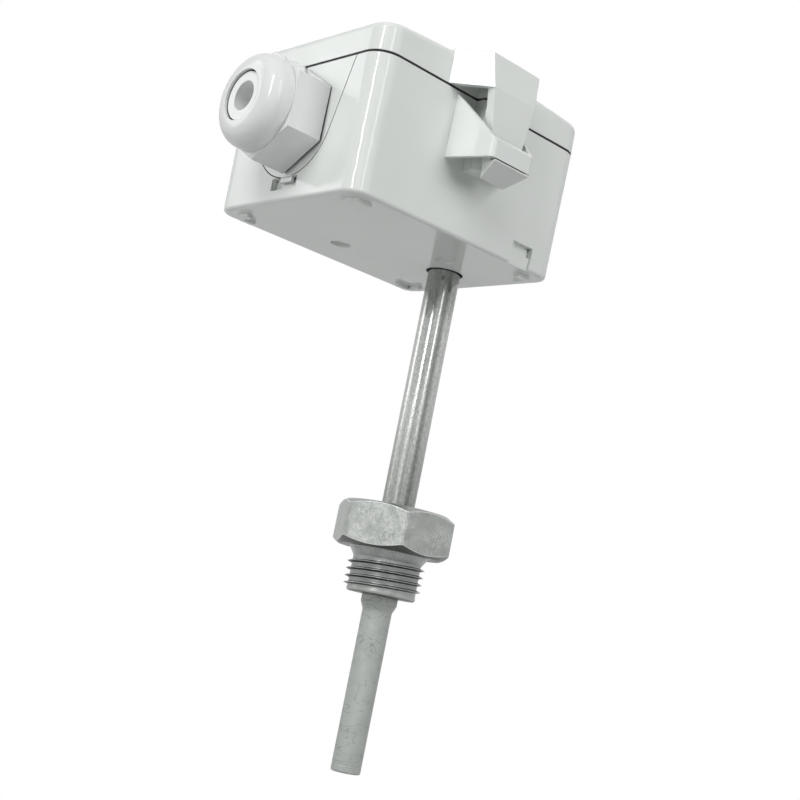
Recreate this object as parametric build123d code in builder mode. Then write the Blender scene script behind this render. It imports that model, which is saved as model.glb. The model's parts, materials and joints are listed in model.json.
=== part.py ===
from build123d import *
from math import atan, cos, degrees, pi, radians, sin, tan
import os

# Immersion temperature sensor: a screwed-in stem under a terminal housing
# whose lid is held by a hinge at the back and a flexing latch at the front.
# Origin on the stem axis, halfway along the thread; the stem points down.
# +X along the latch wall, the cable gland faces -X, the latch faces -Y.

# Clearances
pin_gap = 0.08  # radial, a pin in the eye that turns on it
push_gap = 0.05  # radial, stem pieces pushed or brazed into each other
move_gap = 0.3  # between pieces that move past each other
seam_gap = 0.25  # around the gland plate in its slot
parting_gap = 0.65  # between the rims of base and lid

# Screwed fitting
thread_d = 20.955
thread_len = 7.7
relief_d = 18.8
neck_d = 21.6  # cone foot under the hexagon
relief_len = 2.6
thread_runout = 0.5
pilot_len = 1.6
pilot_edge = 0.7
hex_af = 29.3
hex_h = 12.0
hex_turn = 29.3  # degrees, how far the hexagon ended up screwed in
hex_chamfer = 30.0  # degrees
hex_face_d = 27.9  # flat left inside the chamfer
socket_depth = 9.0

# Immersion pocket
pocket_d = 8.0
pocket_wall = 0.75
pocket_len = 46.8  # below the fitting
pocket_tip_edge = 0.5
pocket_end_t = 1.0
collar_d = 9.8
collar_len = 2.0
collar_taper = 2.0
pocket_grip = 9.5  # length held inside the fitting

# Neck tube
tube_d = 9.0
tube_wall = 1.0
tube_len = 67.0  # in view between hexagon and housing
tube_top = 10.6  # above the housing's underside

# Sensing insert
element_d = 5.4
element_len = 18.0
lead_d = 1.3
lead_pitch = 3.2
lead_bend_r = 5.0

# Housing
case_l = 73.8
case_w = 59.1
base_h = 35.7
lid_side_h = 7.55  # lid height at its end walls, above its rim
lid_crown = 1.7  # how much the lid's middle stands over its ends
case_draft = 0.8
corner_r = 6.0
case_wall = 2.5
floor_t = 2.5
lid_t = 2.2
lid_wall = 1.3
lid_edge_r = 2.0
bottom_edge_r = 1.0
stem_inset = 14.16  # stem axis from the housing's end

# Underside
foot_h = 1.0
foot_inset = 3.8
foot_leg = 5.6
foot_w = 1.7
foot_corner = 1.6
stem_hole_d = 10.4
stem_hole_depth = 1.5
mark_d = 5.6
mark_depth = 0.8
mark_places = [(-5.3, 12.5), (13.6, -10.0)]
notch_x = 22.6
notch_w = 7.4
notch_h = 6.1
notch_depth = 1.5
ledge_h = 3.4

# Seat of the stem inside the housing
seat_d = 18.0
seat_top = 7.6
ring_bore_d = 13.4
ring_bore_h = 2.2
ring_cord = 2.0
clip_d = 14.0
clip_t = 0.9

# Lid seal
skirt_depth = 3.0
skirt_t = 1.4
seal_w = 1.4
seal_h = 1.8

# Cable gland
gland_h = 21.3  # gland axis above the housing's underside
slot_r = 15.2
slot_lean = 16.8  # degrees that the slot's sides lean out
plate_lip = 1.8  # how far the plate's inner lip overlaps the wall
plate_lip_t = 1.4
plate_seal_t = 0.8
stub_d = 19.4
stub_bore_d = 15.2
stub_len = 9.0
nut_af = 25.0
nut_gap = 0.5
nut_hex_len = 10.1
nut_d = 24.9
dome_len = 7.0
dome_round = 5.0  # length over which the dome curves in
nut_mouth_d = 13.5
cage_ring_t = 1.2
cage_fingers = 10
finger_gap = 1.2
finger_len = 4.8
seal_d = 12.8
seal_bore_d = 7.8
seal_inset = 0.8
seal_len = 12.8
tab_w = 10.4
tab_h = 3.2
tab_lip_w = 4.8
tab_lip_h = 1.2

# Latch: distances outwards from the wall, heights above the underside
boss_root_half = 14.2
boss_front_half = 7.4
boss_top_out = 8.3
boss_foot_out = 9.85
boss_wall = 1.8
boss_roof = 2.2
tongue_tip_h = 13.8
tongue_tip_half = 3.74
tongue_front_out = 10.1
tongue_rear_out = 7.35
tongue_foot_out = 7.1
hook_out = 13.45
hook_h = 17.4
hook_half = 6.0
hook_heel = 1.3
bracket_root_half = 10.5
bracket_front_half = 7.1
bracket_out = 13.15
bracket_h = 17.9
band_h = 4.6
bracket_wall = 1.1
bracket_r = 1.7
post_r = 3.7
post_out = 5.05
post_foot_h = 16.8

# Hinge
hinge_x = 19.0
hinge_out = 3.4
hinge_r = 3.0
hinge_pin_d = 2.5
knuckle_w = 7.2
ear_w = 3.6
ear_drop = 7.5

# Circuit board and what it carries
board_w = 44.0
board_t = 1.6
board_inset = 6.9  # from the housing's gland end
board_gap = 1.74  # to the seat of the stem
board_h = 11.0
board_hole_inset = 3.5
post_d = 6.0
screw_d = 2.0
screw_head_d = 4.4
screw_head_h = 1.7
screw_grip = 6.0
block_l = 8.5
block_h = 11.0
block_pitch = 5.0
cable_block_inset = 6.0  # its middle from the board's gland end
cable_poles = 4
lead_block_inset = 7.0  # its middle from the board's other end
lead_poles = 2
entry_h = 4.0  # wire entry above the board
entry_w = 3.6
entry_depth = 4.6
well_d = 3.8
well_depth = 6.0
clamp_screw_d = 3.4
chip_l = 10.0
chip_w = 6.4
chip_y = 8.0
driver_l = 5.0
driver_w = 6.2
driver_y = -9.0
small_l = 1.2
small_w = 2.0
small_pitch_x = 3.2
small_pitch_y = 4.0
small_y = -1.5
chip_h = 1.8
capacitor_d = 6.4
capacitor_h = 7.5
capacitor_y = 14.5

os.makedirs("parts", exist_ok=True)

# Levels on the stem
shoulder_z = relief_len + thread_len / 2
shank_end_z = -thread_len / 2 - pilot_len
hex_top_z = shoulder_z + hex_h
pocket_tip_z = shank_end_z - pocket_len
socket_z = hex_top_z - socket_depth
pocket_top_z = shank_end_z + pocket_grip

# The housing's own planes, from the middle of its underside
half_l = case_l / 2
half_w = case_w / 2
stem_x = half_l - stem_inset
case_x = -stem_x
case_z = hex_top_z + tube_len
case = Plane(origin=(case_x, 0, case_z))
side = Plane(origin=(case_x, 0, case_z), x_dir=(0, 1, 0), z_dir=(1, 0, 0))
front = Plane(origin=(case_x, 0, case_z), x_dir=(1, 0, 0), z_dir=(0, -1, 0))
rim_h = base_h + parting_gap
lid_end_h = rim_h + lid_side_h
lid_top_h = lid_end_h + lid_crown
lid_inset = case_wall + move_gap + skirt_t

# Board between the gland end and the seat of the stem
board_start = board_inset - half_l
board_end = stem_x - seat_d / 2 - board_gap
board_l = board_end - board_start
board_x = (board_start + board_end) / 2
cable_block_x = board_start + cable_block_inset
lead_block_x = board_end - lead_block_inset


def wall_inset(height):
    """How far the drafted wall lies inside the rim's outline at a height."""
    return case_draft * (1 - height / base_h)


def rounded(inset):
    """Plan outline of the housing, moved inwards."""
    return RectangleRounded(case_l - 2 * inset, case_w - 2 * inset, max(corner_r - inset, 0.8))


def rounded_ring(inset):
    """Takes the middle out of a rounded outline, leaving a ring."""
    return RectangleRounded(
        case_l - 2 * inset, case_w - 2 * inset, max(corner_r - inset, 0.8), mode=Mode.SUBTRACT
    )


def mould_block(bottom, top, wall):
    """The drafted block inside the base's walls, between two heights."""
    with BuildPart() as block:
        with BuildSketch(case.offset(bottom)):
            rounded(wall_inset(bottom) + wall)
        extrude(amount=top - bottom, taper=-degrees(atan(case_draft / base_h)))
    return block.part


def slot_face(radius, top):
    """U outline of the gland slot about its axis: a round foot and sides leaning out."""
    lean = radians(slot_lean)
    rise = top - gland_h
    half_top = (radius + rise * sin(lean)) / cos(lean)
    turn_x, turn_y = radius * cos(lean), -radius * sin(lean)
    with BuildSketch() as outline:
        with BuildLine():
            Line((-half_top, rise), (half_top, rise))
            Line((half_top, rise), (turn_x, turn_y))
            ThreePointArc((turn_x, turn_y), (0, -radius), (-turn_x, turn_y))
            Line((-turn_x, turn_y), (-half_top, rise))
        make_face()
    return outline.sketch


def crowned(height, drop, depth):
    """Block under the lid's gentle crown, lowered by drop, to a depth each way."""
    top_mid = lid_top_h - drop
    top_end = lid_end_h - drop
    with BuildPart() as block:
        with BuildSketch(front):
            with BuildLine():
                Line((-half_l, height), (half_l, height))
                Line((half_l, height), (half_l, top_end))
                ThreePointArc((half_l, top_end), (0, top_mid), (-half_l, top_end))
                Line((-half_l, top_end), (-half_l, height))
            make_face()
        extrude(amount=depth, both=True)
    return block.part


def save(part, name):
    part.label = name
    export_step(part, f"parts/{name}.step")


# Screwed fitting: hexagon, conical neck, threaded shank and plain pilot
fitting_bore_r = pocket_d / 2 + push_gap
socket_r = tube_d / 2 + push_gap
hex_corner_r = hex_af / 2 / cos(pi / 6)
chamfer_h = (hex_corner_r - hex_face_d / 2) * tan(radians(hex_chamfer))
with BuildPart() as hex_fitting:
    with BuildSketch(Plane.XY.offset(shoulder_z)):
        RegularPolygon(hex_af / 2, 6, major_radius=False, rotation=hex_turn)
    extrude(amount=hex_h)
    with BuildSketch(Plane.XZ):
        Polygon(
            (0, shoulder_z),
            (hex_face_d / 2, shoulder_z),
            (hex_corner_r, shoulder_z + chamfer_h),
            (hex_corner_r, hex_top_z - chamfer_h),
            (hex_face_d / 2, hex_top_z),
            (0, hex_top_z),
            align=None,
        )
    revolve(axis=Axis.Z, mode=Mode.INTERSECT)
    with BuildSketch(Plane.XZ):
        Polygon(
            (0, shoulder_z),
            (neck_d / 2, shoulder_z),
            (relief_d / 2, shoulder_z - relief_len + thread_runout),
            (thread_d / 2, shoulder_z - relief_len),
            (thread_d / 2, -thread_len / 2),
            (relief_d / 2, -thread_len / 2 - thread_runout),
            (relief_d / 2, shank_end_z),
            (0, shank_end_z),
            align=None,
        )
    revolve(axis=Axis.Z)
    pilot_rim = hex_fitting.edges().filter_by(GeomType.CIRCLE).sort_by(Axis.Z)[0]
    chamfer(pilot_rim, pilot_edge)
    with Locations((0, 0, hex_top_z)):
        Hole(fitting_bore_r, depth=hex_top_z - shank_end_z)
        Hole(socket_r, depth=socket_depth)
save(hex_fitting.part, "hex_fitting")

# Closed pocket with its welded collar
pocket_r = pocket_d / 2
with BuildPart() as pocket_tube:
    with BuildSketch(Plane.XZ):
        Polygon(
            (0, pocket_tip_z),
            (pocket_r, pocket_tip_z),
            (pocket_r, shank_end_z - collar_len - collar_taper),
            (collar_d / 2, shank_end_z - collar_len),
            (collar_d / 2, shank_end_z),
            (pocket_r, shank_end_z),
            (pocket_r, pocket_top_z),
            (0, pocket_top_z),
            align=None,
        )
    revolve(axis=Axis.Z)
    tip_rim = pocket_tube.edges().filter_by(GeomType.CIRCLE).sort_by(Axis.Z)[0]
    chamfer(tip_rim, pocket_tip_edge)
    with Locations((0, 0, pocket_top_z)):
        Hole(pocket_r - pocket_wall, depth=pocket_top_z - pocket_tip_z - pocket_end_t)
save(pocket_tube.part, "pocket_tube")

# Neck tube from the fitting up into the housing
tube_top_z = case_z + tube_top
with BuildPart() as neck_tube:
    with BuildSketch(Plane.XY.offset(socket_z)):
        Circle(tube_d / 2)
        Circle(tube_d / 2 - tube_wall, mode=Mode.SUBTRACT)
    extrude(amount=tube_top_z - socket_z)
    chamfer(neck_tube.faces().sort_by(Axis.Z)[-1].edges(), tube_wall / 4)
save(neck_tube.part, "neck_tube")

# Sensing element standing on the pocket's end
element_z = pocket_tip_z + pocket_end_t
element_top_z = element_z + element_len
with BuildPart() as sensing_element:
    with BuildSketch(Plane.XY.offset(element_z)):
        Circle(element_d / 2)
    extrude(amount=element_len)
    chamfer(sensing_element.faces().sort_by(Axis.Z)[0].edges(), element_d / 5)
save(sensing_element.part, "sensing_element")

# Two leads up the tube and over to the small terminal block
board_top_h = board_h + board_t
lead_h = board_top_h + entry_h
lead_z = case_z + lead_h
lead_end_x = case_x + lead_block_x + block_l / 2 - entry_depth / 2
with BuildPart() as sensor_leads:
    for lead_side in (-1, 1):
        start = (0, lead_side * lead_pitch / 2, element_top_z)
        corner = (0, lead_side * lead_pitch / 2, lead_z)
        end = (lead_end_x, lead_side * block_pitch / 2, lead_z)
        with BuildLine() as lead_path:
            FilletPolyline(start, corner, end, radius=lead_bend_r)
        with BuildSketch(Plane(origin=start)):
            RegularPolygon(lead_d / 2, 6)
        sweep(path=lead_path.line)
save(sensor_leads.part, "sensor_leads")

# Housing base
slot_plane = Plane(origin=(case_x, 0, case_z + gland_h), x_dir=(0, -1, 0), z_dir=(-1, 0, 0))
wall_shell = mould_block(0, base_h, 0) - mould_block(floor_t, base_h, case_wall)
bracket_lean = (bracket_root_half - bracket_front_half) / bracket_out
inner_front = bracket_out - bracket_wall
board_holes = [
    (x, y)
    for x in (board_x - board_l / 2 + board_hole_inset, board_x + board_l / 2 - board_hole_inset)
    for y in (-board_w / 2 + board_hole_inset, board_w / 2 - board_hole_inset)
]


def bracket_plan(inset):
    """Trapezoid of the latch bracket, reaching into the wall, moved inwards."""
    root = bracket_root_half - inset
    tip = bracket_root_half - (bracket_out - inset) * bracket_lean - inset
    with BuildSketch() as plan:
        with BuildLine():
            Polyline(
                (-root, -half_w + case_wall / 2),
                (-root, -half_w),
                (-tip, -half_w - bracket_out + inset),
                (tip, -half_w - bracket_out + inset),
                (root, -half_w),
                (root, -half_w + case_wall / 2),
                close=True,
            )
        make_face()
        tips = plan.vertices().group_by(Axis.Y)[0]
        fillet(tips, max(bracket_r - inset, 0.4))
    return plan.sketch


with BuildPart() as bracket:
    with BuildSketch(case.offset(bracket_h)):
        add(bracket_plan(0))
        add(bracket_plan(bracket_wall), mode=Mode.SUBTRACT)
    extrude(amount=base_h - bracket_h)
    with BuildSketch(side):
        Polygon(
            (-half_w + case_wall, bracket_h),
            (-half_w - bracket_out, bracket_h),
            (-half_w - bracket_out, bracket_h + band_h),
            (-half_w, base_h - parting_gap),
            (-half_w + case_wall, base_h - parting_gap),
            align=None,
        )
    extrude(amount=bracket_root_half, both=True, mode=Mode.INTERSECT)

with BuildPart() as stop_post:
    with BuildSketch(case.offset(post_foot_h)):
        with Locations((0, -half_w - post_out + post_r)):
            Circle(post_r)
        with Locations((0, -half_w + post_r / 2 - case_wall / 2)):
            Rectangle(2 * post_r, post_r + case_wall)
    extrude(amount=base_h - post_foot_h)

cavity = mould_block(floor_t, base_h, case_wall)
with BuildPart() as housing_base:
    add(mould_block(0, base_h, 0))
    fillet(housing_base.faces().sort_by(Axis.Z)[0].edges(), bottom_edge_r)
    add(bracket.part)
    add(stop_post.part)

    # hinge ears on the back wall, each on a web that runs down into it
    ear_step = knuckle_w / 2 + move_gap + ear_w / 2
    for ear_x in (-hinge_x - ear_step, ear_step - hinge_x, hinge_x - ear_step, hinge_x + ear_step):
        with BuildSketch(side.offset(ear_x - ear_w / 2)):
            with Locations((half_w + hinge_out, base_h)):
                Circle(hinge_r)
            Polygon(
                (half_w - case_wall / 2, base_h - ear_drop),
                (half_w - case_draft / 2, base_h - ear_drop),
                (half_w + hinge_out + hinge_r, base_h),
                (half_w + hinge_out, base_h),
                (half_w - case_wall / 2, base_h),
                align=None,
            )
        extrude(amount=ear_w)
    with Locations(Plane(origin=(case_x, half_w + hinge_out, case_z + base_h), z_dir=(1, 0, 0))):
        Hole(hinge_pin_d / 2 + push_gap / 2, depth=case_l)

    # hollow, with the seat of the stem and the board posts left standing in it
    add(cavity, mode=Mode.SUBTRACT)
    with BuildSketch(case.offset(floor_t)):
        with Locations((stem_x, 0)):
            Circle(seat_d / 2)
    extrude(amount=seat_top - floor_t)
    with BuildSketch(case.offset(floor_t)):
        with Locations(*board_holes):
            Circle(post_d / 2)
    extrude(amount=board_h - floor_t)
    with Locations(*[case.from_local_coords(Vector(x, y, board_h)) for x, y in board_holes]):
        Hole(screw_d / 2 + push_gap, depth=screw_grip)
    with Locations((0, 0, case_z + seat_top)):
        Hole(socket_r, depth=seat_top)
        Hole(ring_bore_d / 2, depth=ring_bore_h)
    with BuildSketch(case):
        with Locations((stem_x, 0)):
            Circle(stem_hole_d / 2)
    extrude(amount=stem_hole_depth, mode=Mode.SUBTRACT)

    # slot for the gland plate and the finger notch under it
    with BuildSketch(slot_plane.offset(half_l - case_wall - plate_lip)):
        add(slot_face(slot_r, base_h))
    extrude(amount=case_wall + 2 * plate_lip, mode=Mode.SUBTRACT)
    tab_top = gland_h - slot_r + seam_gap
    with BuildSketch(front):
        with Locations((-half_l + case_draft, tab_top - tab_h / 2)):
            Rectangle(2 * notch_depth, tab_h)
    extrude(amount=tab_w / 2, both=True, mode=Mode.SUBTRACT)

    # opening notches at the foot of the front and back walls, each with a ledge
    for notch_side in (-1, 1):
        with BuildSketch(side.offset(notch_x - notch_w / 2)):
            with Locations((notch_side * half_w, notch_h / 2)):
                Rectangle(2 * (notch_depth + case_draft), notch_h)
        extrude(amount=notch_w, mode=Mode.SUBTRACT)
        with BuildSketch(side.offset(notch_x - notch_w / 2)):
            Polygon(
                (notch_side * (half_w - notch_depth - 2 * case_draft), 0),
                (notch_side * (half_w - 2 * case_draft), 0),
                (notch_side * (half_w - case_draft - notch_depth / 3), ledge_h),
                (notch_side * (half_w - notch_depth - 2 * case_draft), ledge_h),
                align=None,
            )
        extrude(amount=notch_w)

    # four angled feet and two shallow round marks on the underside
    with BuildSketch(case):
        for sx in (-1, 1):
            for sy in (-1, 1):
                foot_x = half_l - case_draft - foot_inset
                foot_y = half_w - case_draft - foot_inset
                Polygon(
                    (sx * foot_x, sy * (foot_y - foot_leg)),
                    (sx * foot_x, sy * (foot_y - foot_corner)),
                    (sx * (foot_x - foot_corner), sy * foot_y),
                    (sx * (foot_x - foot_leg), sy * foot_y),
                    (sx * (foot_x - foot_leg), sy * (foot_y - foot_w)),
                    (sx * (foot_x - foot_w), sy * (foot_y - foot_w)),
                    (sx * (foot_x - foot_w), sy * (foot_y - foot_leg)),
                    align=None,
                )
    extrude(amount=-foot_h)
    with BuildSketch(case):
        with Locations(*mark_places):
            Circle(mark_d / 2)
    extrude(amount=mark_depth, mode=Mode.SUBTRACT)
save(housing_base.part, "housing_base")

# O-ring and toothed clip that hold the tube in its seat
ring_z = case_z + seat_top - ring_bore_h + ring_cord / 2
with BuildPart() as tube_o_ring:
    with BuildSketch(Plane.XZ):
        with Locations((tube_d / 2 + 2 * push_gap + ring_cord / 2, ring_z)):
            RegularPolygon(ring_cord / 2, 8)
    revolve(axis=Axis.Z)
save(tube_o_ring.part, "tube_o_ring")

with BuildPart() as tube_clip:
    with BuildSketch(Plane.XY.offset(case_z + seat_top)):
        Circle(clip_d / 2)
        Circle(socket_r, mode=Mode.SUBTRACT)
        with PolarLocations(socket_r, 8):
            Rectangle(3 * clip_t, clip_t, mode=Mode.SUBTRACT)
    extrude(amount=clip_t)
save(tube_clip.part, "tube_clip")

# Gland plate: slides into the slot from above and carries the threaded stub
gland_face = half_l - wall_inset(gland_h)  # wall face at the gland, from the middle
lip_top = base_h - skirt_depth - move_gap  # under the lid's skirt
with BuildPart() as gland_insert:
    with BuildSketch(slot_plane.offset(half_l - 2 * case_wall)):
        add(slot_face(slot_r - seam_gap, base_h))
    extrude(amount=2 * case_wall)
    add(wall_shell, mode=Mode.INTERSECT)
    plate_inner = gland_face - case_wall - case_draft / 2
    with BuildSketch(slot_plane.offset(plate_inner - plate_seal_t - plate_lip_t)):
        add(slot_face(slot_r - seam_gap - plate_lip, lip_top))
    extrude(amount=plate_seal_t + plate_lip_t + case_draft)
    with BuildSketch(slot_plane.offset(plate_inner - plate_seal_t - plate_lip_t)):
        add(slot_face(slot_r + plate_lip, lip_top))
    extrude(amount=plate_lip_t)
    with BuildSketch(slot_plane.offset(gland_face - case_wall)):
        Circle(stub_d / 2)
    extrude(amount=case_wall + stub_len)
    # short lip into the finger notch, for lifting the plate out
    plate_foot = seam_gap - slot_r
    with BuildSketch(slot_plane.offset(half_l - case_draft - notch_depth + move_gap)):
        with Locations((0, plate_foot)):
            Rectangle(tab_lip_w, 2 * tab_lip_h)
    extrude(amount=notch_depth - 2 * move_gap)
    stub_rim = gland_insert.faces().sort_by(Axis.X)[0].outer_wire().edges()
    chamfer(stub_rim, 0.6)
    with Locations(slot_plane.offset(gland_face + stub_len)):
        Hole(stub_bore_d / 2, depth=stub_len + 3 * case_wall)
save(gland_insert.part, "gland_insert")

# Soft U-shaped seal between the plate's lip and the wall
with BuildPart() as insert_seal:
    with BuildSketch(slot_plane.offset(plate_inner - plate_seal_t)):
        add(slot_face(slot_r + plate_lip, lip_top))
        add(slot_face(slot_r - seam_gap - plate_lip + move_gap / 3, base_h), mode=Mode.SUBTRACT)
    extrude(amount=plate_seal_t)
save(insert_seal.part, "insert_seal")

# Clamping cage: a ring on the stub's end with fingers inside the dome
cage_out = gland_face + stub_len
dome_start = gland_face + nut_gap + nut_hex_len
nut_end = dome_start + dome_len
nut_bore_r = stub_d / 2 + move_gap
mouth_r = nut_mouth_d / 2
cone_run = nut_end - dome_start - seal_inset
finger_out = cage_out + cage_ring_t + finger_len
cage_bore_r = seal_d / 2 + push_gap


def nut_inner_r(out):
    """Radius of the nut's inner cone at a distance from the housing's middle."""
    return nut_bore_r - (out - dome_start) / cone_run * (nut_bore_r - mouth_r)


with BuildPart() as gland_cage:
    with BuildSketch(Plane.XY.offset(case_z + gland_h)):
        Polygon(
            (case_x - cage_out, cage_bore_r),
            (case_x - cage_out, stub_d / 2),
            (case_x - cage_out - cage_ring_t, stub_d / 2 - move_gap),
            (case_x - finger_out, nut_inner_r(finger_out) - move_gap),
            (case_x - finger_out, cage_bore_r),
            align=None,
        )
    revolve(axis=Axis((0, 0, case_z + gland_h), (-1, 0, 0)))
    with BuildSketch(slot_plane.offset(cage_out + cage_ring_t)):
        with PolarLocations(stub_d / 4, cage_fingers):
            Rectangle(stub_d / 2, finger_gap)
    extrude(amount=finger_len, mode=Mode.SUBTRACT)
save(gland_cage.part, "gland_cage")

# Rubber sleeve that grips the cable
seal_end = nut_end - seal_inset
with BuildPart() as gland_seal:
    with BuildSketch(slot_plane.offset(seal_end - seal_len)):
        Circle(seal_d / 2)
        Circle(seal_bore_d / 2, mode=Mode.SUBTRACT)
    extrude(amount=seal_len)
save(gland_seal.part, "gland_seal")

# Cap nut: hexagon behind, dome in front
nut_back = gland_face + nut_gap
dome_crest_r = nut_d / 2 - dome_round
with BuildPart() as gland_nut:
    with BuildSketch(slot_plane.offset(nut_back)):
        RegularPolygon(nut_af / 2, 6, major_radius=False, rotation=30)
    extrude(amount=nut_hex_len)
    with BuildSketch(Plane.XY.offset(case_z + gland_h)):
        with BuildLine():
            Line((case_x - nut_back, 0), (case_x - nut_back, nut_d / 2))
            Line((case_x - nut_back, nut_d / 2), (case_x - nut_end + dome_round, nut_d / 2))
            dome_middle = (case_x - nut_end + dome_round, dome_crest_r)
            CenterArc(dome_middle, dome_round, start_angle=90, arc_size=90)
            Line((case_x - nut_end, dome_crest_r), (case_x - nut_end, 0))
            Line((case_x - nut_end, 0), (case_x - nut_back, 0))
        make_face()
    revolve(axis=Axis((0, 0, case_z + gland_h), (-1, 0, 0)))
    with BuildSketch(Plane.XY.offset(case_z + gland_h)):
        Polygon(
            (case_x - nut_back, 0),
            (case_x - nut_back, nut_bore_r),
            (case_x - dome_start, nut_bore_r),
            (case_x - seal_end, mouth_r),
            (case_x - nut_end, mouth_r),
            (case_x - nut_end, 0),
            align=None,
        )
    revolve(axis=Axis((0, 0, case_z + gland_h), (-1, 0, 0)), mode=Mode.SUBTRACT)
save(gland_nut.part, "gland_nut")

# Lid: crowned cap with a seal groove, an inner skirt and the latch boss
post_centre = -half_w - post_out + post_r
boss_lean = (boss_root_half - boss_front_half) / boss_foot_out


def boss_plan(inset, front_inset):
    """Trapezoid of the latch boss, moved inwards at its sides and its front."""
    reach = boss_foot_out - front_inset
    root = boss_root_half - inset
    tip = boss_root_half - reach * boss_lean - inset
    return Polygon(
        (-root, -half_w + lid_edge_r + lid_wall),
        (-root, -half_w),
        (-tip, -half_w - reach),
        (tip, -half_w - reach),
        (root, -half_w),
        (root, -half_w + lid_edge_r + lid_wall),
        align=None,
    )


with BuildPart() as boss:
    with BuildSketch(case.offset(rim_h)):
        boss_plan(0, 0)
    extrude(amount=lid_top_h - rim_h)
    with BuildSketch(side):
        Polygon(
            (-half_w + case_wall, rim_h),
            (-half_w - boss_foot_out, rim_h),
            (-half_w - boss_top_out, lid_top_h),
            (-half_w + case_wall, lid_top_h),
            align=None,
        )
    extrude(amount=boss_root_half, both=True, mode=Mode.INTERSECT)
    add(crowned(rim_h, 0, half_w + hook_out), mode=Mode.INTERSECT)

with BuildPart() as boss_hollow:
    with BuildSketch(case.offset(rim_h)):
        boss_plan(boss_wall, boss_foot_out - tongue_rear_out)
        Rectangle(case_l, case_w, mode=Mode.SUBTRACT)
    extrude(amount=lid_end_h - boss_roof - rim_h)

hinge_h = base_h
knuckle_plane = side.offset(-knuckle_w / 2)
hinge_line = Plane(origin=(case_x - case_l / 2, half_w + hinge_out, case_z + hinge_h), z_dir=(-1, 0, 0))
with BuildPart() as housing_lid:
    with BuildSketch(case.offset(rim_h)):
        rounded(0)
    extrude(amount=lid_top_h - rim_h)
    add(crowned(rim_h, 0, half_w), mode=Mode.INTERSECT)
    top_rim = housing_lid.faces().sort_by(Axis.Z)[-1].outer_wire().edges()
    fillet(top_rim, lid_edge_r)
    add(boss.part)
    add(boss_hollow.part, mode=Mode.SUBTRACT)
    with BuildSketch(case.offset(rim_h)):
        with Locations((0, post_centre)):
            Circle(post_r)
        with Locations((0, (post_centre - half_w) / 2)):
            Rectangle(2 * post_r, -half_w - post_centre)
    extrude(amount=lid_end_h - boss_roof / 2 - rim_h)

    # knuckles on the back wall
    for knuckle_x in (-hinge_x, hinge_x):
        with BuildSketch(side.offset(knuckle_x - knuckle_w / 2)):
            with Locations((half_w + hinge_out, hinge_h)):
                Circle(hinge_r)
            Polygon(
                (half_w - lid_wall / 2, rim_h),
                (half_w + hinge_out, rim_h),
                (half_w + hinge_out, hinge_h + hinge_r),
                (half_w - lid_wall / 2, hinge_h + hinge_r + hinge_out),
                align=None,
            )
        extrude(amount=knuckle_w)
    with Locations(hinge_line):
        Hole(hinge_pin_d / 2 + pin_gap, depth=case_l)

    # hollow under the crown, then the skirt that dips into the base
    with BuildSketch(case.offset(rim_h)):
        rounded(lid_inset)
    extrude(amount=lid_end_h - lid_t - rim_h, mode=Mode.SUBTRACT)
    with BuildSketch(case.offset(base_h - skirt_depth)):
        rounded(case_wall + move_gap)
        rounded_ring(lid_inset)
    extrude(amount=skirt_depth + parting_gap)
    with BuildSketch(case.offset(rim_h)):
        rounded(lid_wall - seam_gap / 5)
        rounded_ring(lid_wall + seal_w + seam_gap / 5)
    extrude(amount=seal_h, mode=Mode.SUBTRACT)
save(housing_lid.part, "housing_lid")

# Soft seal in the lid's groove, just clear of the base's rim
with BuildPart() as lid_seal:
    with BuildSketch(case.offset(rim_h - parting_gap + move_gap)):
        rounded(lid_wall)
        rounded_ring(lid_wall + seal_w)
    extrude(amount=seal_h + parting_gap - move_gap)
save(lid_seal.part, "lid_seal")

# Flexing tongue: a tapering blade with a hook that widens outwards
tongue_top_h = rim_h - move_gap
taper = (boss_front_half - tongue_tip_half) / (tongue_top_h - tongue_tip_h)
with BuildPart() as blade:
    with BuildSketch(side):
        Polygon(
            (-half_w - boss_foot_out, tongue_top_h),
            (-half_w - tongue_rear_out, tongue_top_h),
            (-half_w - tongue_foot_out, tongue_tip_h),
            (-half_w - tongue_front_out, hook_h),
            align=None,
        )
    extrude(amount=boss_front_half, both=True)
    with BuildSketch(front):
        Polygon(
            (-boss_front_half, tongue_top_h),
            (boss_front_half, tongue_top_h),
            (tongue_tip_half, tongue_tip_h),
            (-tongue_tip_half, tongue_tip_h),
            align=None,
        )
    extrude(amount=half_w + hook_out, mode=Mode.INTERSECT)

with BuildPart() as latch_tongue:
    with BuildSketch(side):
        Polygon(
            (-half_w - tongue_foot_out, tongue_tip_h),
            (-half_w - hook_out, hook_h - hook_heel / 4),
            (-half_w - hook_out, hook_h),
            (-half_w - tongue_rear_out, hook_h + hook_heel / 4),
            align=None,
        )
    extrude(amount=hook_half, both=True)
    spread = (hook_half - tongue_tip_half) / (hook_out - tongue_foot_out)
    with BuildSketch(case.offset(tongue_tip_h)):
        Polygon(
            (-tongue_tip_half, -half_w - tongue_foot_out + hook_heel),
            (tongue_tip_half, -half_w - tongue_foot_out + hook_heel),
            (hook_half + hook_heel * spread, -half_w - hook_out - hook_heel),
            (-hook_half - hook_heel * spread, -half_w - hook_out - hook_heel),
            align=None,
        )
    extrude(amount=hook_h - tongue_tip_h + hook_heel, mode=Mode.INTERSECT)
    add(blade.part)
save(latch_tongue.part, "latch_tongue")

# Hinge pins
with BuildPart() as hinge_pins:
    pin_len = knuckle_w + 2 * move_gap + 2 * ear_w
    for pin_x in (-hinge_x, hinge_x):
        with BuildSketch(side.offset(pin_x - pin_len / 2)):
            with Locations((half_w + hinge_out, hinge_h)):
                Circle(hinge_pin_d / 2)
        extrude(amount=pin_len)
save(hinge_pins.part, "hinge_pins")

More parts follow.
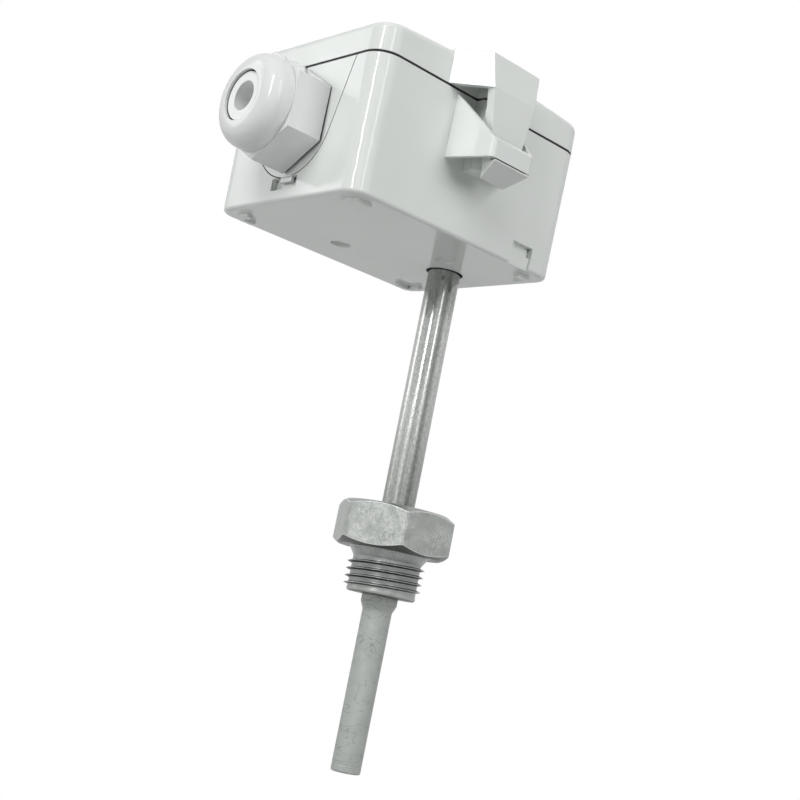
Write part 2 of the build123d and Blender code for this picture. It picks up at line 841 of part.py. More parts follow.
# Circuit board with its screws
with BuildPart() as circuit_board:
    with BuildSketch(case.offset(board_h)):
        with Locations((board_x, 0)):
            Rectangle(board_l, board_w)
        with Locations(*board_holes):
            Circle(screw_d / 2 + 2 * push_gap, mode=Mode.SUBTRACT)
    extrude(amount=board_t)
save(circuit_board.part, "circuit_board")

with BuildPart() as board_screws:
    with BuildSketch(case.offset(board_top_h)):
        with Locations(*board_holes):
            Circle(screw_head_d / 2)
    extrude(amount=screw_head_h)
    with BuildSketch(case.offset(board_top_h)):
        with Locations(*board_holes):
            Circle(screw_d / 2)
    extrude(amount=-board_t - screw_grip + screw_d / 2)
    with BuildSketch(case.offset(board_top_h + screw_head_h)):
        with Locations(*board_holes):
            Rectangle(screw_head_d, screw_head_h / 3)
            Rectangle(screw_head_h / 3, screw_head_d)
    extrude(amount=-screw_head_h / 2, mode=Mode.SUBTRACT)
save(board_screws.part, "board_screws")


def poles(count):
    """Places across a terminal block, one for each pole."""
    return [block_pitch * (i - (count - 1) / 2) for i in range(count)]


def terminal_block(mid_x, count, mouth):
    """Block on the board with screw wells above and wire entries on its mouth side."""
    face = mid_x + mouth * block_l / 2
    with BuildPart() as block:
        with BuildSketch(case.offset(board_top_h)):
            with Locations((mid_x, 0)):
                Rectangle(block_l, block_pitch * (count + 0.2))
        extrude(amount=block_h)
        chamfer(block.edges().filter_by(Axis.Y).group_by(Axis.Z)[-1], 0.8)
        with BuildSketch(case.offset(board_top_h + block_h)):
            with Locations(*[(mid_x, y) for y in poles(count)]):
                Circle(well_d / 2)
        extrude(amount=-well_depth, mode=Mode.SUBTRACT)
        with BuildSketch(side.offset(face)):
            with Locations(*[(y, board_top_h + entry_h) for y in poles(count)]):
                Rectangle(entry_w, entry_w)
        extrude(amount=-mouth * entry_depth, mode=Mode.SUBTRACT)
    return block.part


def clamp_screws(mid_x, count):
    """Slotted screws standing in the wells of a terminal block."""
    foot = board_top_h + block_h - well_depth
    with BuildPart() as screws:
        with BuildSketch(case.offset(foot)):
            with Locations(*[(mid_x, y) for y in poles(count)]):
                Circle(clamp_screw_d / 2)
        extrude(amount=well_depth / 2)
        with BuildSketch(case.offset(foot + well_depth / 2)):
            with Locations(*[(mid_x, y) for y in poles(count)]):
                Rectangle(clamp_screw_d, clamp_screw_d / 5)
        extrude(amount=-well_depth / 6, mode=Mode.SUBTRACT)
    return screws.part


save(terminal_block(cable_block_x, cable_poles, -1), "cable_terminal")
save(terminal_block(lead_block_x, lead_poles, 1), "lead_terminal")
save(clamp_screws(cable_block_x, cable_poles), "cable_terminal_screws")
save(clamp_screws(lead_block_x, lead_poles), "lead_terminal_screws")

# Converter chip, driver, small parts and capacitor on the board between the terminal blocks
parts_x = (cable_block_x + lead_block_x) / 2
with BuildPart() as board_parts:
    with BuildSketch(case.offset(board_top_h)):
        with Locations((parts_x, chip_y)):
            Rectangle(chip_l, chip_w)
        with Locations((parts_x, driver_y)):
            Rectangle(driver_l, driver_w)
        with Locations((parts_x, small_y)):
            with GridLocations(small_pitch_x, small_pitch_y, 3, 2):
                Rectangle(small_l, small_w)
    extrude(amount=chip_h)
    with BuildSketch(case.offset(board_top_h)):
        with Locations((parts_x, capacitor_y)):
            Circle(capacitor_d / 2)
    extrude(amount=capacitor_h)
save(board_parts.part, "board_parts")
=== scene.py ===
import bpy, bmesh, json, math
import numpy as np
from mathutils import Matrix, Vector


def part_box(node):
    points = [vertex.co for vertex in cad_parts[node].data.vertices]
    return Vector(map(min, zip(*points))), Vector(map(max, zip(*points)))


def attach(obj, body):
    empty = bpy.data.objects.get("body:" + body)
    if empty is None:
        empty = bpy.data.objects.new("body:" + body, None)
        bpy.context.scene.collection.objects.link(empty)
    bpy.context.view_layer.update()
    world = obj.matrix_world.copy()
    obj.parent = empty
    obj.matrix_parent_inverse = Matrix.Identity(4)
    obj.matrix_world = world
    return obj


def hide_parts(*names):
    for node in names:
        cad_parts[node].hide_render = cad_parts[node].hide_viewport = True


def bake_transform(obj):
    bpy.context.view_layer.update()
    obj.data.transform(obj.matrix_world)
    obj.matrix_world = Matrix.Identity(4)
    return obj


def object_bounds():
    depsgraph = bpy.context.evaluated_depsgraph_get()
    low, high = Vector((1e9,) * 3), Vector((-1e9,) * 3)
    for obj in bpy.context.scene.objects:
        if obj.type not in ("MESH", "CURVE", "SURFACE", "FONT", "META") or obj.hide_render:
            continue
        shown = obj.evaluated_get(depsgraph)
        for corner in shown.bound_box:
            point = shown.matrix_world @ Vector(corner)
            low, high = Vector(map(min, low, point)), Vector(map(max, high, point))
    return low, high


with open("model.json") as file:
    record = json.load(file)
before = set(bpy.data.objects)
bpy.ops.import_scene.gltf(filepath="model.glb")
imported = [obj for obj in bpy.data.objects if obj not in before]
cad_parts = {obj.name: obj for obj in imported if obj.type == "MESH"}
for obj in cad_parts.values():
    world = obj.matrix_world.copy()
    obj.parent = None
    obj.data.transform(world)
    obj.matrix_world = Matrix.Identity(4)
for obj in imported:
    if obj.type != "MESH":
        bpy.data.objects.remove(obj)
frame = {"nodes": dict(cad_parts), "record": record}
cadLow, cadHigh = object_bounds()
print("frame loaded:", len(frame["nodes"]), "pieces")

mm = 0.001  # the shapes' values are in millimetres, all other lengths in metres

# the camera stands low at the front left and looks slightly up, rolled a little
cameraView = {
    "place": (-0.25659, -0.29183, -0.01665),
    "look": (0.64148605, 0.74941432, 0.16393236),
    "up": (-0.25448243, 0.00629158, 0.96705693),
    "lens": 64.62,
    "sensor": 36.0,
    "clip": (0.01, 50.0),
}

studioLight = {
    "target": (-0.02, 0.0, 0.08),
    "worldMirror": 0.80,
    "floorTone": 0.62,
    "floorRough": 0.9,
    "floorNear": (0.58, 0.45),
    "floorFar": (0.82, 0.90),
    "floorSize": 6.0,
    "floorDrop": 0.20,
}

# place, width and height, watts, only mirrored: four lamps light the surfaces, and the strips are
# only seen in them
studioLamps = {
    "key": ((-1.15, -0.25, 1.0), (0.9, 0.9), 12.2, False),
    "fill": ((0.35, -1.35, 0.55), (0.7, 1.1), 9.9, False),
    "side": ((-1.40, 0.25, 0.05), (0.8, 0.5), 4.6, False),
    "front": ((-0.60, -0.90, 1.1), (0.8, 0.8), 3.3, False),
    "cornerStrip": ((-1.323, -0.511, 0.84), (0.14, 1.1), 7.8, True),
    "tubeStrip": ((-0.443, -1.334, 0.80), (0.20, 1.1), 2.6, True),
    "wallStrip": ((-0.927, 1.066, 0.72), (0.42, 1.1), 2.4, True),
}


# Maps a pattern's values between low and high onto the run from first to last.
def between(tree, pattern, low, high, first, last):
    ranged = tree.nodes.new("ShaderNodeMapRange")
    ends = {"From Min": low, "From Max": high, "To Min": first, "To Max": last}
    for socket, value in ends.items():
        ranged.inputs[socket].default_value = value
    tree.links.new(pattern, ranged.inputs["Value"])
    return ranged.outputs["Result"]


# Turns a piece of the studio so that its -Z axis looks at the target.
def facing(place, target):
    look = Vector(target) - Vector(place)
    return Matrix.Translation(place) @ look.to_track_quat("-Z", "Y").to_matrix().to_4x4()


# The camera looks along its -Z axis; its right is look cross up, its own up is right cross look.
def addCamera(v):
    look, up = Vector(v["look"]).normalized(), Vector(v["up"]).normalized()
    right = look.cross(up).normalized()
    up = right.cross(look)
    data = bpy.data.cameras.new("photoCamera")
    data.lens, data.sensor_width = v["lens"], v["sensor"]
    data.clip_start, data.clip_end = v["clip"]
    camera = bpy.data.objects.new("photoCamera", data)
    bpy.context.scene.collection.objects.link(camera)
    turn = Matrix((right, up, -look)).transposed().to_4x4()
    camera.matrix_world = Matrix.Translation(v["place"]) @ turn
    bpy.context.scene.camera = camera


# A rectangular lamp that faces the target. It either lights the surfaces or is mirrored in them.
def addLamp(name, lamp, target):
    place, size, power, mirrored = lamp
    data = bpy.data.lights.new(name, "AREA")
    data.shape, data.size, data.size_y, data.energy = "RECTANGLE", size[0], size[1], power
    item = bpy.data.objects.new(name, data)
    bpy.context.scene.collection.objects.link(item)
    item.matrix_world = facing(place, target)
    item.visible_glossy, item.visible_diffuse = mirrored, not mirrored


# Camera rays see the white shader, mirrored and transmitted rays one of their own, and the rest
# the lit one. The floor's white is clear: it lets camera rays through to the white world.
def seenWhite(tree, lit, mirrored, white):
    path = tree.nodes.new("ShaderNodeLightPath")
    either = tree.nodes.new("ShaderNodeMath")
    either.operation, either.use_clamp = "ADD", True
    tree.links.new(path.outputs["Is Glossy Ray"], either.inputs[0])
    tree.links.new(path.outputs["Is Transmission Ray"], either.inputs[1])
    shown = lit
    for share, shader in ((either.outputs[0], mirrored), (path.outputs["Is Camera Ray"], white)):
        mix = tree.nodes.new("ShaderNodeMixShader")
        tree.links.new(share, mix.inputs[0])
        tree.links.new(shown.outputs[0], mix.inputs[1])
        tree.links.new(shader.outputs[0], mix.inputs[2])
        shown = mix
    return shown


# A shader of one plain grey tone.
def plainShader(tree, kind, tone):
    plain = tree.nodes.new(kind)
    plain.inputs["Color"].default_value = (tone, tone, tone, 1.0)
    return plain


# A world that is white to the camera, a grey tone in mirrored rays and else dark, and the lamps.
def addStudio(v):
    scene = bpy.context.scene
    scene.view_settings.view_transform = "Standard"
    world = bpy.data.worlds.new("studio")
    scene.world = world
    world.use_nodes = True
    tree = world.node_tree
    tones = (0.0, v["worldMirror"], 1.0)
    shown = seenWhite(tree, *(plainShader(tree, "ShaderNodeBackground", tone) for tone in tones))
    tree.links.new(shown.outputs[0], tree.nodes["World Output"].inputs["Surface"])
    for name, lamp in studioLamps.items():
        addLamp(name, lamp, v["target"])


# A square floor, matt grey to the lit rays. In mirrored rays it glows, from the near tone to the
# far one by the distance from the frame's origin.
def addFloor(v):
    half, low = v["floorSize"] / 2, cadLow.z - v["floorDrop"]
    corners = [(-half, -half, low), (half, -half, low), (half, half, low), (-half, half, low)]
    mesh = bpy.data.meshes.new("floor")
    mesh.from_pydata(corners, [], [(0, 1, 2, 3)])
    floor = bpy.data.objects.new("floor", mesh)
    bpy.context.scene.collection.objects.link(floor)
    pale = bpy.data.materials.new("paleFloor")
    pale.use_nodes = True
    tree = pale.node_tree
    matt = tree.nodes["Principled BSDF"]
    matt.inputs["Base Color"].default_value = (v["floorTone"],) * 3 + (1.0,)
    matt.inputs["Roughness"].default_value = v["floorRough"]
    mirrored = tree.nodes.new("ShaderNodeEmission")
    around = tree.nodes.new("ShaderNodeTexCoord")
    away = tree.nodes.new("ShaderNodeVectorMath")
    away.operation = "LENGTH"
    tree.links.new(around.outputs["Object"], away.inputs[0])
    (near, nearAt), (far, farAt) = v["floorNear"], v["floorFar"]
    glow = between(tree, away.outputs["Value"], nearAt, farAt, near, far)
    tree.links.new(glow, mirrored.inputs["Strength"])
    shown = seenWhite(tree, matt, mirrored, plainShader(tree, "ShaderNodeBsdfTransparent", 1.0))
    tree.links.new(shown.outputs[0], tree.nodes["Material Output"].inputs["Surface"])
    mesh.materials.append(pale)


addCamera(cameraView)
addStudio(studioLight)
addFloor(studioLight)
print("camera and studio placed")

noiseRange, noiseMiddle = (0.3, 0.7), 0.5  # where a noise's values mostly lie
softEdge, bevelSamples = 2e-4, 8  # radius in metres, rays per point


# A new material with its shader, its node tree and the Object coordinates that its patterns read.
def startFinish(name):
    finish = bpy.data.materials.new(name)
    finish.use_nodes = True
    tree = finish.node_tree
    coordinates = tree.nodes.new("ShaderNodeTexCoord")
    return finish, tree, tree.nodes["Principled BSDF"], coordinates.outputs["Object"]


# Noise over the piece: grains is how many features fit in a metre, stretch scales each axis first.
def grainOf(tree, coordinates, grains, stretch=(1, 1, 1), detail=3.0, twist=0.0):
    mapping = tree.nodes.new("ShaderNodeMapping")
    mapping.inputs["Scale"].default_value = stretch
    tree.links.new(coordinates, mapping.inputs["Vector"])
    noise = tree.nodes.new("ShaderNodeTexNoise")
    noise.inputs["Scale"].default_value = grains
    noise.inputs["Detail"].default_value = detail
    noise.inputs["Distortion"].default_value = twist
    tree.links.new(mapping.outputs[0], noise.inputs["Vector"])
    return noise.outputs["Fac"]


# Maps a pattern onto a run of colours, each given with its place from 0 to 1.
def colours(tree, pattern, stops):
    ramp = tree.nodes.new("ShaderNodeValToRGB")
    elements = ramp.color_ramp.elements
    while len(elements) < len(stops):
        elements.new(0.5)
    for element, (place, tone) in zip(elements, stops):
        element.position = place
        element.color = (*tone, 1.0)
    tree.links.new(pattern, ramp.inputs["Fac"])
    return ramp.outputs["Color"]


# A dark, a plain and a bright tone at three values of a noise.
def threeTones(tree, noise, v):
    return colours(tree, noise, list(zip(v["stops"], (v["dark"], v["tone"], v["bright"]))))


# Lays one colour over another by a pattern used as its share.
def layered(tree, share, under, over, way="MIX"):
    mix = tree.nodes.new("ShaderNodeMix")
    mix.data_type, mix.blend_type = "RGBA", way
    tree.links.new(share, mix.inputs["Factor"])
    for source, socket in ((under, mix.inputs[6]), (over, mix.inputs[7])):
        if isinstance(source, tuple):
            socket.default_value = (*source, 1.0)
        else:
            tree.links.new(source, socket)
    return mix.outputs[2]


# The surface's normal as if sharp edges were rounded to the given radius.
def roundedNormal(tree, radius):
    rounded = tree.nodes.new("ShaderNodeBevel")
    rounded.samples = bevelSamples
    rounded.inputs["Radius"].default_value = radius
    return rounded.outputs["Normal"]


# Raises the surface by a pattern, by at most the given depth in metres, and lets sharp edges
# catch the light as if they were rounded.
def raised(tree, shader, pattern, depth):
    bump = tree.nodes.new("ShaderNodeBump")
    bump.inputs["Distance"].default_value = depth
    tree.links.new(pattern, bump.inputs["Height"])
    tree.links.new(roundedNormal(tree, softEdge), bump.inputs["Normal"])
    tree.links.new(bump.outputs["Normal"], shader.inputs["Normal"])


# Roughness that rises from the given one where a noise is high.
def unevenGloss(tree, noise, gloss, rise):
    return between(tree, noise, *noiseRange, gloss, gloss + rise)


# The share of painted shade where a surface is walled in, as in joints and hollows where shade
# falls: nothing in the open, the full share in a joint.
def paintedShadeIn(tree, v):
    hollow = tree.nodes.new("ShaderNodeAmbientOcclusion")
    hollow.inputs["Distance"].default_value = v["shadeReach"]
    return between(tree, hollow.outputs["AO"], v["shadeFrom"], v["shadeTo"], 0.0, v["shadeShare"])


# what all plastics have in common
plasticSkin = {
    "clouds": 45, "sheen": 160, "uneven": 0.06, "ior": 1.5,
    # painted shade in joints and crevices: its reach, where it starts and where it is full, its
    # share and its tone
    "shadeReach": 0.0012, "shadeFrom": 0.56, "shadeTo": 0.2, "shadeShare": 0.95,
    "shadeTone": (0.04, 0.045, 0.045),
}


# Moulded plastic: a faint cloudy change of tone, a fine orange-peel skin, slightly uneven gloss
# and painted shade darkening its joints and crevices.
def plasticFinish(name, v):
    finish, tree, shader, place = startFinish(name)
    v = {**plasticSkin, **v}
    faded = tuple(c * v["fade"] for c in v["tone"])
    clouds = grainOf(tree, place, v["clouds"], detail=2.0)
    colour = colours(tree, clouds, list(zip(noiseRange, (faded, v["tone"]))))
    # painted shade darkens the joints and crevices
    colour = layered(tree, paintedShadeIn(tree, v), colour, v["shadeTone"])
    tree.links.new(colour, shader.inputs["Base Color"])
    sheen = grainOf(tree, place, v["sheen"], detail=4.0)
    tree.links.new(unevenGloss(tree, sheen, v["gloss"], v["uneven"]), shader.inputs["Roughness"])
    raised(tree, shader, grainOf(tree, place, v["grains"], detail=2.0), v["depth"])
    shader.inputs["IOR"].default_value = v["ior"]
    return finish


housingValues = {"tone": (0.79, 0.825, 0.80), "fade": 0.97, "gloss": 0.07,
                 "grains": 1400, "depth": 2e-6}
housingPlastic = plasticFinish("housingPlastic", housingValues)
glandValues = {"tone": (0.80, 0.81, 0.81), "fade": 0.98, "gloss": 0.08,
               "grains": 1400, "depth": 2e-6}
glandPlastic = plasticFinish("glandPlastic", glandValues)
sleeveValues = {"tone": (0.94, 0.95, 0.95), "fade": 0.95, "gloss": 0.45,
                "grains": 2200, "depth": 1e-5}
glandRubber = plasticFinish("glandRubber", sleeveValues)
sealValues = {"tone": (0.015, 0.015, 0.016), "fade": 0.7, "gloss": 0.60,
              "grains": 2600, "depth": 1.5e-5}
sealRubber = plasticFinish("sealRubber", sealValues)
blockValues = {"tone": (0.07, 0.30, 0.14), "fade": 0.9, "gloss": 0.35,
               "grains": 1800, "depth": 6e-6}
terminalPlastic = plasticFinish("terminalPlastic", blockValues)
chipValues = {"tone": (0.03, 0.03, 0.032), "fade": 0.8, "gloss": 0.50,
              "grains": 3000, "depth": 1e-5}
partPlastic = plasticFinish("partPlastic", chipValues)
ceramicValues = {"tone": (0.78, 0.75, 0.68), "fade": 0.93, "gloss": 0.55,
                 "grains": 2400, "depth": 1e-5}
elementCeramic = plasticFinish("elementCeramic", ceramicValues)


# Drawn tube: streaks along its length change its tone and its gloss, fine spots darken it, painted
# shade darkens its top under the housing, it is darker towards its foot, and it mirrors less
# sharply towards the foot.
def drawnSteel(name, v):
    finish, tree, shader, place = startFinish(name)
    streaks = grainOf(tree, place, v["streaks"], v["streakRun"], detail=4.0)
    fine = grainOf(tree, place, v["fine"], v["fineRun"])
    spots = grainOf(tree, place, v["spots"], v["spotRun"], detail=6.0)
    apart = tree.nodes.new("ShaderNodeSeparateXYZ")
    tree.links.new(place, apart.inputs[0])
    height = apart.outputs["Z"]
    colour = threeTones(tree, streaks, v)
    # the top gets painted shade under the housing
    for share, tone in (
        (between(tree, height, v["footFrom"], v["footTo"], 0.0, 1.0), v["footTone"]),
        (between(tree, height, v["topFrom"], v["topTo"], 0.0, 1.0), v["topShadeTone"]),
        (between(tree, spots, v["spotFrom"], v["spotTo"], v["spotShare"], 0.0), v["spotTone"]),
    ):
        colour = layered(tree, share, colour, tone, "MULTIPLY")
    tree.links.new(colour, shader.inputs["Base Color"])
    blur = tree.nodes.new("ShaderNodeMath")
    blur.operation = "ADD"
    tree.links.new(unevenGloss(tree, fine, v["gloss"], v["uneven"]), blur.inputs[0])
    dull = between(tree, height, v["blurFrom"], v["blurTo"], 0.0, v["blur"])
    tree.links.new(dull, blur.inputs[1])
    tree.links.new(blur.outputs[0], shader.inputs["Roughness"])
    raised(tree, shader, fine, v["depth"])
    shader.inputs["Metallic"].default_value = 1.0
    return finish


tubeValues = {
    "tone": (0.54, 0.55, 0.54), "dark": (0.29, 0.30, 0.29), "bright": (0.76, 0.77, 0.74),
    "stops": (0.30, 0.5, 0.72), "gloss": 0.10, "uneven": 0.14, "depth": 4e-6,
    "streaks": 520, "streakRun": (1, 1, 0.012), "fine": 2080, "fineRun": (1, 1, 0.03),
    "spots": 2100, "spotRun": (1, 1, 0.5), "spotFrom": 0.40, "spotTo": 0.62, "spotShare": 0.65,
    "spotTone": (0.62, 0.63, 0.62), "blur": 0.22, "blurFrom": 0.060, "blurTo": 0.030,
    "footTone": (0.66, 0.67, 0.66), "footFrom": 0.045, "footTo": 0.020,
    # painted shade at the top, under the housing
    "topShadeTone": (0.66, 0.67, 0.66), "topFrom": 0.070, "topTo": 0.077,
}
tubeSteel = drawnSteel("tubeSteel", tubeValues)


# How near a noise is to its middle value, as a share that falls to 0 a little off it: it draws
# thin winding lines.
def hairlines(tree, place, v, kind):
    line = grainOf(tree, place, v[kind], v[kind + "Run"], detail=2.0, twist=0.5)
    near = tree.nodes.new("ShaderNodeMath")
    near.operation = "SUBTRACT"
    near.inputs[1].default_value = noiseMiddle
    tree.links.new(line, near.inputs[0])
    away = tree.nodes.new("ShaderNodeMath")
    away.operation = "ABSOLUTE"
    tree.links.new(near.outputs[0], away.inputs[0])
    return between(tree, away.outputs[0], 0.0, v[kind + "Thin"], v[kind + "Share"], 0.0)


# The share of painted highlight at edges: the dot product of the rounded normal and the face's own
# one is below 1 only near an edge.
def edgeHighlightOf(tree, v):
    own = tree.nodes.new("ShaderNodeNewGeometry")
    turn = tree.nodes.new("ShaderNodeVectorMath")
    turn.operation = "DOT_PRODUCT"
    tree.links.new(roundedNormal(tree, v["edgeReach"]), turn.inputs[0])
    tree.links.new(own.outputs["Normal"], turn.inputs[1])
    return between(tree, turn.outputs["Value"], v["edgeFrom"], v["edgeTo"], 0.0, v["edgeShare"])


# The share of painted shade on faces that look down, where the shade under the piece falls.
def undersideShadeOf(tree, v):
    own = tree.nodes.new("ShaderNodeNewGeometry")
    apart = tree.nodes.new("ShaderNodeSeparateXYZ")
    tree.links.new(own.outputs["Normal"], apart.inputs[0])
    return between(tree, apart.outputs["Z"], v["underFrom"], v["underTo"], 0.0, v["underShare"])


# what all handled steels have in common
steelSkin = {"stops": (0.34, 0.5, 0.66), "uneven": 0.18, "shadeTo": 0.2,
             "edgeFrom": 0.999, "edgeTo": 0.96}


# Handled steel: cloudy patches, bright nicks in some places, thin dark scratches, a painted
# highlight along its edges in the nicks' tone, and painted shade in its hollows and on its
# undersides.
def handledSteel(name, v):
    finish, tree, shader, place = startFinish(name)
    v = {**steelSkin, **v}
    patches = grainOf(tree, place, v["patches"], detail=6.0, twist=0.4)
    colour = threeTones(tree, patches, v)
    where = tree.nodes.new("ShaderNodeMath")
    where.operation = "MULTIPLY"
    tree.links.new(hairlines(tree, place, v, "nick"), where.inputs[0])
    fields = grainOf(tree, place, v["fields"])
    tree.links.new(between(tree, fields, v["wornFrom"], v["wornTo"], 0.0, 1.0), where.inputs[1])
    colour = layered(tree, where.outputs[0], colour, v["nickAndHighlightTone"])
    colour = layered(tree, hairlines(tree, place, v, "scratch"), colour, v["scratchTone"])
    # a painted highlight along the edges, in the nicks' bright tone
    colour = layered(tree, edgeHighlightOf(tree, v), colour, v["nickAndHighlightTone"])
    # painted shade in the hollows and on the faces that look down
    for share in (paintedShadeIn(tree, v), undersideShadeOf(tree, v)):
        colour = layered(tree, share, colour, v["shadeTone"])
    tree.links.new(colour, shader.inputs["Base Color"])
    tree.links.new(unevenGloss(tree, patches, v["gloss"], v["uneven"]), shader.inputs["Roughness"])
    raised(tree, shader, where.outputs[0], v["depth"])
    shader.inputs["Metallic"].default_value = v["metal"]
    return finish


hexValues = {
    "tone": (0.405, 0.425, 0.41), "dark": (0.36, 0.38, 0.365), "bright": (0.46, 0.48, 0.46),
    "gloss": 0.26, "depth": 2.5e-5, "metal": 0.90,
    "patches": 300, "fields": 150, "wornFrom": 0.44, "wornTo": 0.56,
    "nick": 1500, "nickRun": (1.0, 0.8, 0.6), "nickThin": 0.058, "nickShare": 0.28,
    "nickAndHighlightTone": (0.95, 0.97, 0.95),
    "scratch": 210, "scratchRun": (1, 1, 1), "scratchThin": 0.010, "scratchShare": 0.35,
    "scratchTone": (0.18, 0.19, 0.18),
    # painted shade in hollows and on faces that look down, and a painted highlight at edges in the
    # nicks' tone
    "shadeReach": 0.0025, "shadeFrom": 0.90, "shadeShare": 1.0,
    "shadeTone": (0.02, 0.022, 0.02),
    "edgeReach": 0.00035, "edgeShare": 0.8,
    "underFrom": -0.62, "underTo": -0.90, "underShare": 0.75,
}
fittingSteel = handledSteel("fittingSteel", hexValues)
pocketValues = {
    "tone": (0.43, 0.456, 0.435), "dark": (0.40, 0.426, 0.405), "bright": (0.46, 0.486, 0.465),
    "gloss": 0.42, "depth": 1e-5, "metal": 0.30,
    "patches": 240, "fields": 120, "wornFrom": 0.50, "wornTo": 0.62,
    "nick": 520, "nickRun": (1.0, 1.0, 0.6), "nickThin": 0.018, "nickShare": 0.5,
    "nickAndHighlightTone": (0.62, 0.65, 0.63),
    "scratch": 210, "scratchRun": (0.7, 0.7, 1.5), "scratchThin": 0.013, "scratchShare": 0.65,
    "scratchTone": (0.16, 0.18, 0.17),
    # painted shade in hollows and on faces that look down
    "shadeReach": 0.0012, "shadeFrom": 0.7, "shadeShare": 0.6,
    "shadeTone": (0.10, 0.11, 0.10),
    "edgeReach": 0.0003, "edgeShare": 0.0,
    "underFrom": -0.90, "underTo": -1.0, "underShare": 0.3,
}
pocketSteel = handledSteel("pocketSteel", pocketValues)
brightValues = {
    "tone": (0.66, 0.66, 0.67), "dark": (0.55, 0.55, 0.56), "bright": (0.78, 0.78, 0.79),
    "gloss": 0.18, "depth": 6e-6, "metal": 1.0,
    "patches": 500, "fields": 250, "wornFrom": 0.5, "wornTo": 0.62,
    "nick": 900, "nickRun": (1, 1, 1), "nickThin": 0.02, "nickShare": 0.3,
    "nickAndHighlightTone": (0.95, 0.95, 0.95),
    "scratch": 300, "scratchRun": (1, 1, 1), "scratchThin": 0.006, "scratchShare": 0.2,
    "scratchTone": (0.35, 0.35, 0.35),
    # painted shade in hollows and on faces that look down, and a painted highlight at edges in the
    # nicks' tone
    "shadeReach": 0.0006, "shadeFrom": 0.7, "shadeShare": 0.6,
    "shadeTone": (0.15, 0.15, 0.15),
    "edgeReach": 0.0002, "edgeShare": 0.4,
    "underFrom": -0.90, "underTo": -1.0, "underShare": 0.2,
}
brightSteel = handledSteel("brightSteel", brightValues)


# Lacquered board: lighter tracks show through away from the middles of square cells.
def boardFinish(name, v):
    finish, tree, shader, place = startFinish(name)
    cells = tree.nodes.new("ShaderNodeTexVoronoi")
    cells.distance, cells.inputs["Scale"].default_value = "CHEBYCHEV", v["tracks"]
    tree.links.new(place, cells.inputs["Vector"])
    stops = list(zip(v["stops"], (v["tone"], v["track"])))
    colour = colours(tree, cells.outputs["Distance"], stops)
    tree.links.new(colour, shader.inputs["Base Color"])
    raised(tree, shader, cells.outputs["Distance"], v["depth"])
    shader.inputs["Roughness"].default_value = v["gloss"]
    return finish


boardValues = {"tone": (0.03, 0.20, 0.08), "track": (0.05, 0.29, 0.13), "stops": (0.30, 0.34),
               "tracks": 420, "gloss": 0.3, "depth": 2e-5}
boardLacquer = boardFinish("boardLacquer", boardValues)


# Two leads: red on one side of the stem and white on the other, told apart by their Y place.
def leadFinish(name, v):
    finish, tree, shader, place = startFinish(name)
    apart = tree.nodes.new("ShaderNodeSeparateXYZ")
    tree.links.new(place, apart.inputs[0])
    sideOf = between(tree, apart.outputs["Y"], -v["seam"], v["seam"], 0.0, 1.0)
    colour = colours(tree, sideOf, list(zip(v["stops"], (v["first"], v["second"]))))
    tree.links.new(colour, shader.inputs["Base Color"])
    raised(tree, shader, grainOf(tree, place, v["grains"]), v["depth"])
    shader.inputs["Roughness"].default_value = v["gloss"]
    return finish


leadValues = {"first": (0.55, 0.03, 0.02), "second": (0.75, 0.74, 0.70), "stops": (0.45, 0.55),
              "seam": 1e-4, "gloss": 0.4, "grains": 2500, "depth": 8e-6}
leadInsulation = leadFinish("leadInsulation", leadValues)
print("finishes mixed")

record = frame["record"]
bodyOf = {node: body for body, nodes in record["behaviour"]["bodies"].items() for node in nodes}
mergeCad, mergeGrid = 2e-6, 1e-7  # metres within which points are one


# Makes an object of a mesh with the given finish, smooth except across edges sharper than the given
# angle, and lets it stand for a CAD node, whose own mesh it hides.
def placed(mesh, name, node, finish, crease=35):
    mesh.polygons.foreach_set("use_smooth", np.ones(len(mesh.polygons), bool))
    mesh.set_sharp_from_angle(angle=math.radians(crease))
    mesh.materials.clear()
    mesh.materials.append(finish)
    piece = bpy.data.objects.new(name, mesh)
    bpy.context.scene.collection.objects.link(piece)
    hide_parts(node)
    return piece


# A merged copy of a CAD node's mesh, without the corner normals that fitted its unmerged faces.
def mergedCopy(node, name):
    shape = bmesh.new()
    shape.from_mesh(frame["nodes"][node].data)
    bmesh.ops.remove_doubles(shape, verts=shape.verts, dist=mergeCad)
    mesh = bpy.data.meshes.new(name)
    shape.to_mesh(mesh)
    shape.free()
    mesh.attributes.remove(mesh.attributes["custom_normal"])
    return mesh


# A grid of points becomes a mesh of quads; it closes across, and along too where asked.
# Points that fall together, as at a pole, are merged.
def gridMesh(points, name, closedAlong):
    rows, columns = points.shape[:2]
    i = np.arange(rows if closedAlong else rows - 1)[:, None]
    j = np.arange(columns)[None, :]
    nextI, nextJ = (i + 1) % rows, (j + 1) % columns
    quads = np.stack([i * columns + j, i * columns + nextJ,
                      nextI * columns + nextJ, nextI * columns + j], -1)
    mesh = bpy.data.meshes.new(name)
    mesh.from_pydata(points.reshape(-1, 3).tolist(), [], quads.reshape(-1, 4).tolist())
    shape = bmesh.new()
    shape.from_mesh(mesh)
    bmesh.ops.remove_doubles(shape, verts=shape.verts, dist=mergeGrid)
    bmesh.ops.recalc_face_normals(shape, faces=shape.faces)
    shape.to_mesh(mesh)
    shape.free()
    return mesh


# A profile of (radius, height) in millimetres turned about the stem's axis.
def turned(profile, name, closedAlong, around=96):
    angle = np.linspace(0, 2 * np.pi, around, endpoint=False)
    radius, height = np.array(profile, float).T * mm
    points = np.stack([radius[:, None] * np.cos(angle), radius[:, None] * np.sin(angle),
                       np.repeat(height[:, None], around, 1)], -1)
    return gridMesh(points, name, closedAlong)


# An arc from one direction to another about a centre, as points: centre + radius (cos, sin).
def roundOff(centre, radius, start, stop, steps=5):
    angle = np.radians(np.linspace(start, stop, steps))
    return list(zip(centre[0] + radius * np.cos(angle), centre[1] + radius * np.sin(angle)))


